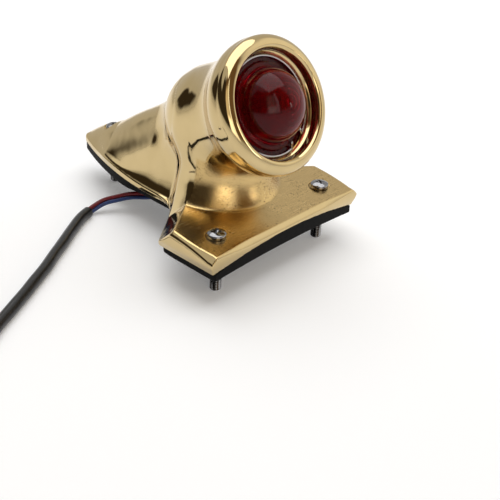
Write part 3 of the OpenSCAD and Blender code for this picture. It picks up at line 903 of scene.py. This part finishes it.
def make_screw(name, x, y, seat, twist):
    """Head from a polar grid with the recess pressed in, then neck and a real helical thread."""
    sides = 120
    turn = np.linspace(0, 2 * math.pi, sides, endpoint=False)
    cos, sin = np.cos(turn), np.sin(turn)

    def ring(r, z):
        return np.stack([r * cos, r * sin, 0 * turn + z], 1)

    edge_r = HEAD_R - 0.25
    top = (0.001, *np.linspace(0.15, edge_r, 44))
    rings = [ring(r, seat + head_height(r * cos, r * sin)) for r in top]
    edge = seat + head_height(edge_r, 0.0)
    side = [(HEAD_R - 0.08, edge - 0.18), (HEAD_R, edge - 0.5), (HEAD_R, seat + 0.25)]
    neck = [(NECK_R + 0.2, seat), (NECK_R, seat - 0.3), (NECK_R, THREAD_TOP + 0.4)]
    rings += [ring(r, z) for r, z in (*side, (HEAD_R - 0.15, seat), *neck)]
    for z in np.arange(THREAD_TOP, 0.0, -0.1):
        phase = (z / PITCH + turn / (2 * math.pi)) % 1
        depth = 0.5 * np.abs(2 * phase - 1)
        taper = min(1.0, max(0.0, z / 0.9))
        rings.append(ring(np.minimum(STUD_R - depth, STUD_R - 0.8 * (1 - taper)), z))
    rings.append(ring(0.001, 0))
    points = np.vstack(rings)
    c, s = math.cos(twist), math.sin(twist)
    px, py, pz = points.T
    points = np.stack([px * c - py * s, px * s + py * c, pz], 1) + [x, y + ROW_Y, 0]
    faces = [f[::-1] for f in grid_faces(len(rings), sides)]
    return make_piece(
        name + "_turned", points, faces, node=name, smooth_angle=38
    )


SCREWS = [
    make_screw("left_screw", -SCREW_X, 0, SEAT_Z, 0.5),
    make_screw("right_screw", SCREW_X, 0, SEAT_Z, 1.1),
    make_screw("rear_screw", 0, REAR_SCREW_Y, REAR_SEAT_Z, 0.2),
]


# Materials


class Nodes:
    """Short calls for building the nodes of a material or a world."""

    def __init__(self, owner):
        owner.use_nodes = True
        self.tree = owner.node_tree

    def add(self, kind, **values):
        node = self.tree.nodes.new(kind)
        for key, value in values.items():
            if key in node.inputs:
                node.inputs[key].default_value = value
            else:
                setattr(node, key, value)
        return node

    def link(self, a, b):
        self.tree.links.new(a, b)

    def noise(self, vector, scale, detail=2.0, rough=0.5):
        node = self.add("ShaderNodeTexNoise", Scale=scale, Detail=detail, Roughness=rough)
        self.link(vector, node.inputs["Vector"])
        return node.outputs["Fac"]

    def ramp(self, value, stops):
        node = self.add("ShaderNodeValToRGB")
        elements = node.color_ramp.elements
        while len(elements) < len(stops):
            elements.new(0.5)
        for element, (position, colour) in zip(elements, stops):
            element.position = position
            element.color = (*colour, 1) if len(colour) == 3 else colour
        self.link(value, node.inputs["Fac"])
        return node.outputs["Color"]

    def range(self, value, low, high, to_low, to_high, interpolation="LINEAR"):
        node = self.add("ShaderNodeMapRange", interpolation_type=interpolation)
        limits = {"From Min": low, "From Max": high, "To Min": to_low, "To Max": to_high}
        for key, v in limits.items():
            node.inputs[key].default_value = v
        self.link(value, node.inputs["Value"])
        return node.outputs["Result"]

    def math(self, kind, a, b=0.0):
        node = self.add("ShaderNodeMath", operation=kind)
        for socket, v in zip(node.inputs, (a, b)):
            if isinstance(v, (int, float)):
                socket.default_value = v
            else:
                self.link(v, socket)
        return node.outputs["Value"]

    def mix(self, share, a, b):
        node = self.add("ShaderNodeMix", data_type="RGBA")
        self.link(share, node.inputs["Factor"])
        for socket, v in ((node.inputs["A"], a), (node.inputs["B"], b)):
            if isinstance(v, tuple):
                socket.default_value = (*v, 1)
            else:
                self.link(v, socket)
        return node.outputs["Result"]

    def bump(self, height, distance, strength=1.0, before=None):
        node = self.add("ShaderNodeBump", Strength=strength, Distance=distance * MM)
        self.link(height, node.inputs["Height"])
        if before is not None:
            self.link(before, node.inputs["Normal"])
        return node.outputs["Normal"]


class Surface(Nodes):
    """A material with one Principled shader."""

    def __init__(self, name):
        self.material = bpy.data.materials.new(name)
        super().__init__(self.material)
        self.shader = self.tree.nodes["Principled BSDF"]

    def set(self, **values):
        for key, value in values.items():
            self.shader.inputs[key.replace("_", " ")].default_value = value

    def drive(self, **outputs):
        for key, output in outputs.items():
            self.link(output, self.shader.inputs[key.replace("_", " ")])

    def place(self, scale=(1, 1, 1)):
        """Object coordinates, in millimetres times a scale."""
        coords = self.add("ShaderNodeTexCoord")
        mapping = self.add("ShaderNodeMapping")
        mapping.inputs["Scale"].default_value = [1000 * s for s in scale]
        self.link(coords.outputs["Object"], mapping.inputs["Vector"])
        return mapping.outputs["Vector"]


def brass_material(name, brushed):
    """Polished cast brass with a hand-buffed surface, and a brushed face where the mesh says so."""
    m = Surface(name)
    here = m.place()
    m.set(Metallic=1.0)
    tone = m.noise(here, 0.05, 3)
    colour = m.ramp(tone, [(0.3, (0.56, 0.43, 0.22)), (0.7, (0.62, 0.48, 0.25))])
    buffing = m.noise(m.place((0.4, 1.6, 1.0)), 1.3, 4)
    rough = m.range(buffing, 0.3, 0.8, 0.03, 0.09)
    wave = m.bump(m.noise(here, 0.09, 1), 0.9, 0.17)
    normal = m.bump(m.noise(here, 2.2, 3), 0.02, 0.25, before=wave)
    if brushed:
        share = m.add("ShaderNodeAttribute", attribute_name="brushed").outputs["Fac"]
        streaks = m.noise(m.place((0.05, 3.2, 3.2)), 1.6, 5, 0.65)
        patches = m.noise(here, 0.09, 3)
        brushing = m.range(streaks, 0.2, 0.8, 0.10, 0.30)
        satin_rough = m.math("ADD", brushing, m.range(patches, 0.3, 0.7, -0.03, 0.04))
        both = m.add("ShaderNodeMix", data_type="FLOAT")
        m.link(share, both.inputs["Factor"])
        m.link(rough, both.inputs["A"])
        m.link(satin_rough, both.inputs["B"])
        rough = both.outputs["Result"]
        satin_colour = m.ramp(streaks, [(0.25, (0.52, 0.36, 0.15)), (0.75, (0.66, 0.48, 0.22))])
        # Dark spots for small pits in the brushed face: painted shade, as the pits have no depth in
        # the mesh.
        pit_shade = m.range(m.noise(here, 1.3, 1), 0.62, 0.67, 0, 1)
        pit_shade = m.math("MULTIPLY", pit_shade, m.range(patches, 0.46, 0.54, 0, 0.8))
        colour = m.mix(share, colour, m.mix(pit_shade, satin_colour, (0.12, 0.07, 0.025)))
        normal = m.bump(m.math("MULTIPLY", streaks, share), 0.05, 0.8, before=normal)
    m.drive(Base_Color=colour, Roughness=rough, Normal=normal)
    return m.material


def glass_material(name, colour, rough=0.02, ior=1.52, clear=1.0, sheen=0.5):
    m = Surface(name)
    m.set(Metallic=0.0, IOR=ior, Base_Color=(*colour, 1), Transmission_Weight=clear)
    m.set(Specular_IOR_Level=sheen)
    here = m.place()
    m.drive(
        Roughness=m.range(m.noise(here, 0.8, 3), 0.3, 0.8, rough * 0.5, rough * 1.8),
        Normal=m.bump(m.noise(here, 0.25, 2), 0.05, 0.15),
    )
    return m.material


def metal_material(name, low, high, rough, grain=(1, 1, 1), depth=0.01):
    m = Surface(name)
    m.set(Metallic=1.0)
    streaks = m.noise(m.place(grain), 2.0, 4, 0.6)
    m.drive(
        Base_Color=m.ramp(streaks, [(0.3, low), (0.7, high)]),
        Roughness=m.range(streaks, 0.2, 0.8, *rough),
        Normal=m.bump(streaks, depth, 0.4),
    )
    return m.material


def plastic_material(name, low, high, rough, scale, depth, coat=0.0, sheen=0.3):
    m = Surface(name)
    m.set(Metallic=0.0, Specular_IOR_Level=sheen, Coat_Weight=coat)
    tone = m.noise(m.place(), scale, 4)
    fine = m.noise(m.place(), scale * 6, 3)
    m.drive(
        Base_Color=m.ramp(tone, [(0.3, low), (0.7, high)]),
        Roughness=m.range(fine, 0.2, 0.8, *rough),
        Normal=m.bump(fine, depth, 0.5),
    )
    return m.material


def dress(objects, material):
    for o in objects:
        o.data.materials.clear()
        o.data.materials.append(material)


def dress_cad(material, *names):
    """Gives a material to nodes that are shown as they come from the CAD model."""
    for name in names:
        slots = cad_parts[name].data.materials
        if len(slots) == 0:
            slots.append(material)
        for i in range(len(slots)):
            slots[i] = material


def grey(value):
    return (value, value, value)


RUBBER = plastic_material(
    "black_rubber", grey(0.004), grey(0.008), (0.45, 0.7), 0.5, 0.03, sheen=0.06
)
STEEL = metal_material("plated_steel", (0.18, 0.18, 0.19), (0.32, 0.32, 0.33), (0.06, 0.16))
SPRING = metal_material("drawn_wire", (0.34, 0.32, 0.33), (0.50, 0.47, 0.48), (0.10, 0.22))
SOCKET = metal_material("pressed_brass", (0.62, 0.44, 0.18), (0.74, 0.55, 0.25), (0.2, 0.35))
REFLECTOR = metal_material(
    "bright_plate", (0.75, 0.75, 0.76), (0.85, 0.85, 0.86), (0.10, 0.22), grain=(0.4, 0.4, 0.4)
)
SOLDER = metal_material("solder", (0.42, 0.42, 0.43), (0.60, 0.60, 0.61), (0.3, 0.5))
TUNGSTEN = metal_material("tungsten", (0.20, 0.20, 0.21), (0.32, 0.32, 0.33), (0.35, 0.5))
PHENOLIC = plastic_material(
    "phenolic", (0.10, 0.035, 0.015), (0.20, 0.08, 0.04), (0.35, 0.5), 0.8, 0.02
)
RUBY = glass_material("ruby_glass", (0.38, 0.002, 0.009), ior=1.28, clear=0.90, sheen=0.12)
CLEAR = glass_material("clear_glass", (0.97, 0.98, 0.98), 0.01)
VINYL = plastic_material(
    "sleeve_vinyl", grey(0.004), (0.010, 0.010, 0.011), (0.24, 0.42), 0.7, 0.05, 0.15, 0.35
)

dress([HOUSING], brass_material("cast_brass", True))
dress([RIM], brass_material("turned_brass", False))
dress([PAD, SEAL], RUBBER)
dress([LENS], RUBY)
dress([RING, SPRINGS], SPRING)
dress(SCREWS, STEEL)
dress([BULB_GLASS], CLEAR)
dress(FILAMENTS, TUNGSTEN)
WIRE_COLOURS = {
    "black": (grey(0.004), grey(0.009)),
    "red": ((0.10, 0.003, 0.006), (0.17, 0.006, 0.010)),
    "blue": ((0.012, 0.028, 0.11), (0.025, 0.05, 0.17)),
}
for wire_colour, (hidden_run, free_run, tinned_tip) in WIRES.items():
    low, high = WIRE_COLOURS[wire_colour]
    skin = plastic_material(wire_colour + "_insulation", low, high, (0.28, 0.45), 0.6, 0.02, 0.1)
    dress([hidden_run, free_run], skin)
    dress([tinned_tip], SOLDER)
dress([SLEEVE], VINYL)
dress_cad(REFLECTOR, "reflector_plate")
dress_cad(STEEL, "plate_screws")
dress_cad(
    SOCKET, "socket_shell", "contact_terminals", "tail_contact", "brake_contact", "earth_terminal",
    "bulb_cap", "bulb_pins",
)
dress_cad(PHENOLIC, "socket_insulator", "bulb_base_insulator")
dress_cad(SOLDER, "bulb_contacts")
dress_cad(CLEAR, "filament_stem")
dress_cad(SPRING, "filament_supports")


# Floor, backdrop and light

# The studio by direction, in degrees: bearing from the front towards the right, and height. Each
# patch is (name, left, right, bottom, top, softness, colour), and is laid over those before it.
STUDIO_WALL = (0.66, 0.65, 0.63)
STUDIO_PATCHES = [
    ("right_wall", 42, 86, 0, 44, 8, (1.15, 1.12, 1.04)),
    ("front_shade", -64, 36, 8, 66, 5, (0.19, 0.115, 0.055)),
    ("key_screen", -46, -18, 20, 52, 5, (1.00, 0.86, 0.64)),
    ("front_strip", -41, -16, 4, 22, 3, (2.6, 2.4, 2.1)),
    ("edge_strip", -15, -7, 4, 56, 2, (1.9, 1.85, 1.75)),
    ("left_shade", -167, -47, 3, 38, 3, (0.045, 0.034, 0.022)),
    ("side_shade", -104, -56, 34, 62, 4, (0.045, 0.034, 0.022)),
    ("window", 28, 34, 6, 16, 1, (5.0, 4.7, 4.3)),
]


FLOOR_HALF = 6.0
FLOOR_COLOUR = (0.85, 0.86, 0.88, 1)
FLOOR_GLOW = 0.16  # seen by the camera, and in metal and glass


def make_floor():
    mesh = bpy.data.meshes.new("floor")
    corners = [(x * FLOOR_HALF, y * FLOOR_HALF, 0) for x, y in ((-1, -1), (1, -1), (1, 1), (-1, 1))]
    mesh.from_pydata(corners, [], [(0, 1, 2, 3)])
    floor = bpy.data.objects.new("floor", mesh)
    bpy.context.scene.collection.objects.link(floor)
    m = Surface("floor_white")
    m.set(Base_Color=FLOOR_COLOUR, Roughness=0.9, Specular_IOR_Level=0.1)
    m.set(Emission_Color=(1, 1, 1, 1))
    path = m.add("ShaderNodeLightPath").outputs
    reflected = m.math("MAXIMUM", path["Is Glossy Ray"], path["Is Transmission Ray"])
    seen = m.math("MAXIMUM", path["Is Camera Ray"], reflected)
    m.drive(Emission_Strength=m.math("MULTIPLY", seen, FLOOR_GLOW))
    mesh.materials.append(m.material)


def make_world():
    """A light studio all round, with the darker and brighter patches laid over it."""
    world = bpy.data.worlds.new("studio")
    bpy.context.scene.world = world
    m = Nodes(world)
    way = m.add("ShaderNodeSeparateXYZ")
    m.link(m.add("ShaderNodeTexCoord").outputs["Generated"], way.inputs["Vector"])
    bearing = m.math("ARCTAN2", way.outputs["X"], m.math("MULTIPLY", way.outputs["Y"], -1.0))
    bearing = m.math("MULTIPLY", bearing, 180 / math.pi)
    height = m.math("MULTIPLY", m.math("ARCSINE", way.outputs["Z"]), 180 / math.pi)
    colour = STUDIO_WALL
    for _, left, right, bottom, top, soft, tint in STUDIO_PATCHES:
        sides = ((bearing, left, soft), (bearing, right, -soft))
        sides += ((height, bottom, soft), (height, top, -soft))
        share = 1.0
        for value, edge, inwards in sides:
            side = m.range(value, edge - inwards, edge + inwards, 0, 1, "SMOOTHSTEP")
            share = m.math("MULTIPLY", share, side)
        colour = m.mix(share, colour, tint)
    background = m.tree.nodes["Background"]
    m.link(colour, background.inputs["Color"])
    background.inputs["Strength"].default_value = 1.0


def make_softbox(name, place, target, size, power):
    """A rectangular area light that faces its target."""
    light = bpy.data.lights.new(name, "AREA")
    light.shape = "RECTANGLE"
    light.size, light.size_y = size
    light.energy = power
    lamp = bpy.data.objects.new(name, light)
    bpy.context.scene.collection.objects.link(lamp)
    back = unit(np.array(place, float) - np.array(target, float))
    side = unit(np.cross((0, 0, 1), back))
    up = np.cross(back, side)
    lamp.matrix_world = stance(side, up, back, place)


make_floor()
make_world()
make_softbox(
    "top_box", place=(0.25, 0.30, 1.2), target=(0.25, 0.2999, 0), size=(1.2, 1.7), power=11.5
)

bpy.context.scene.view_settings.view_transform = "Standard"
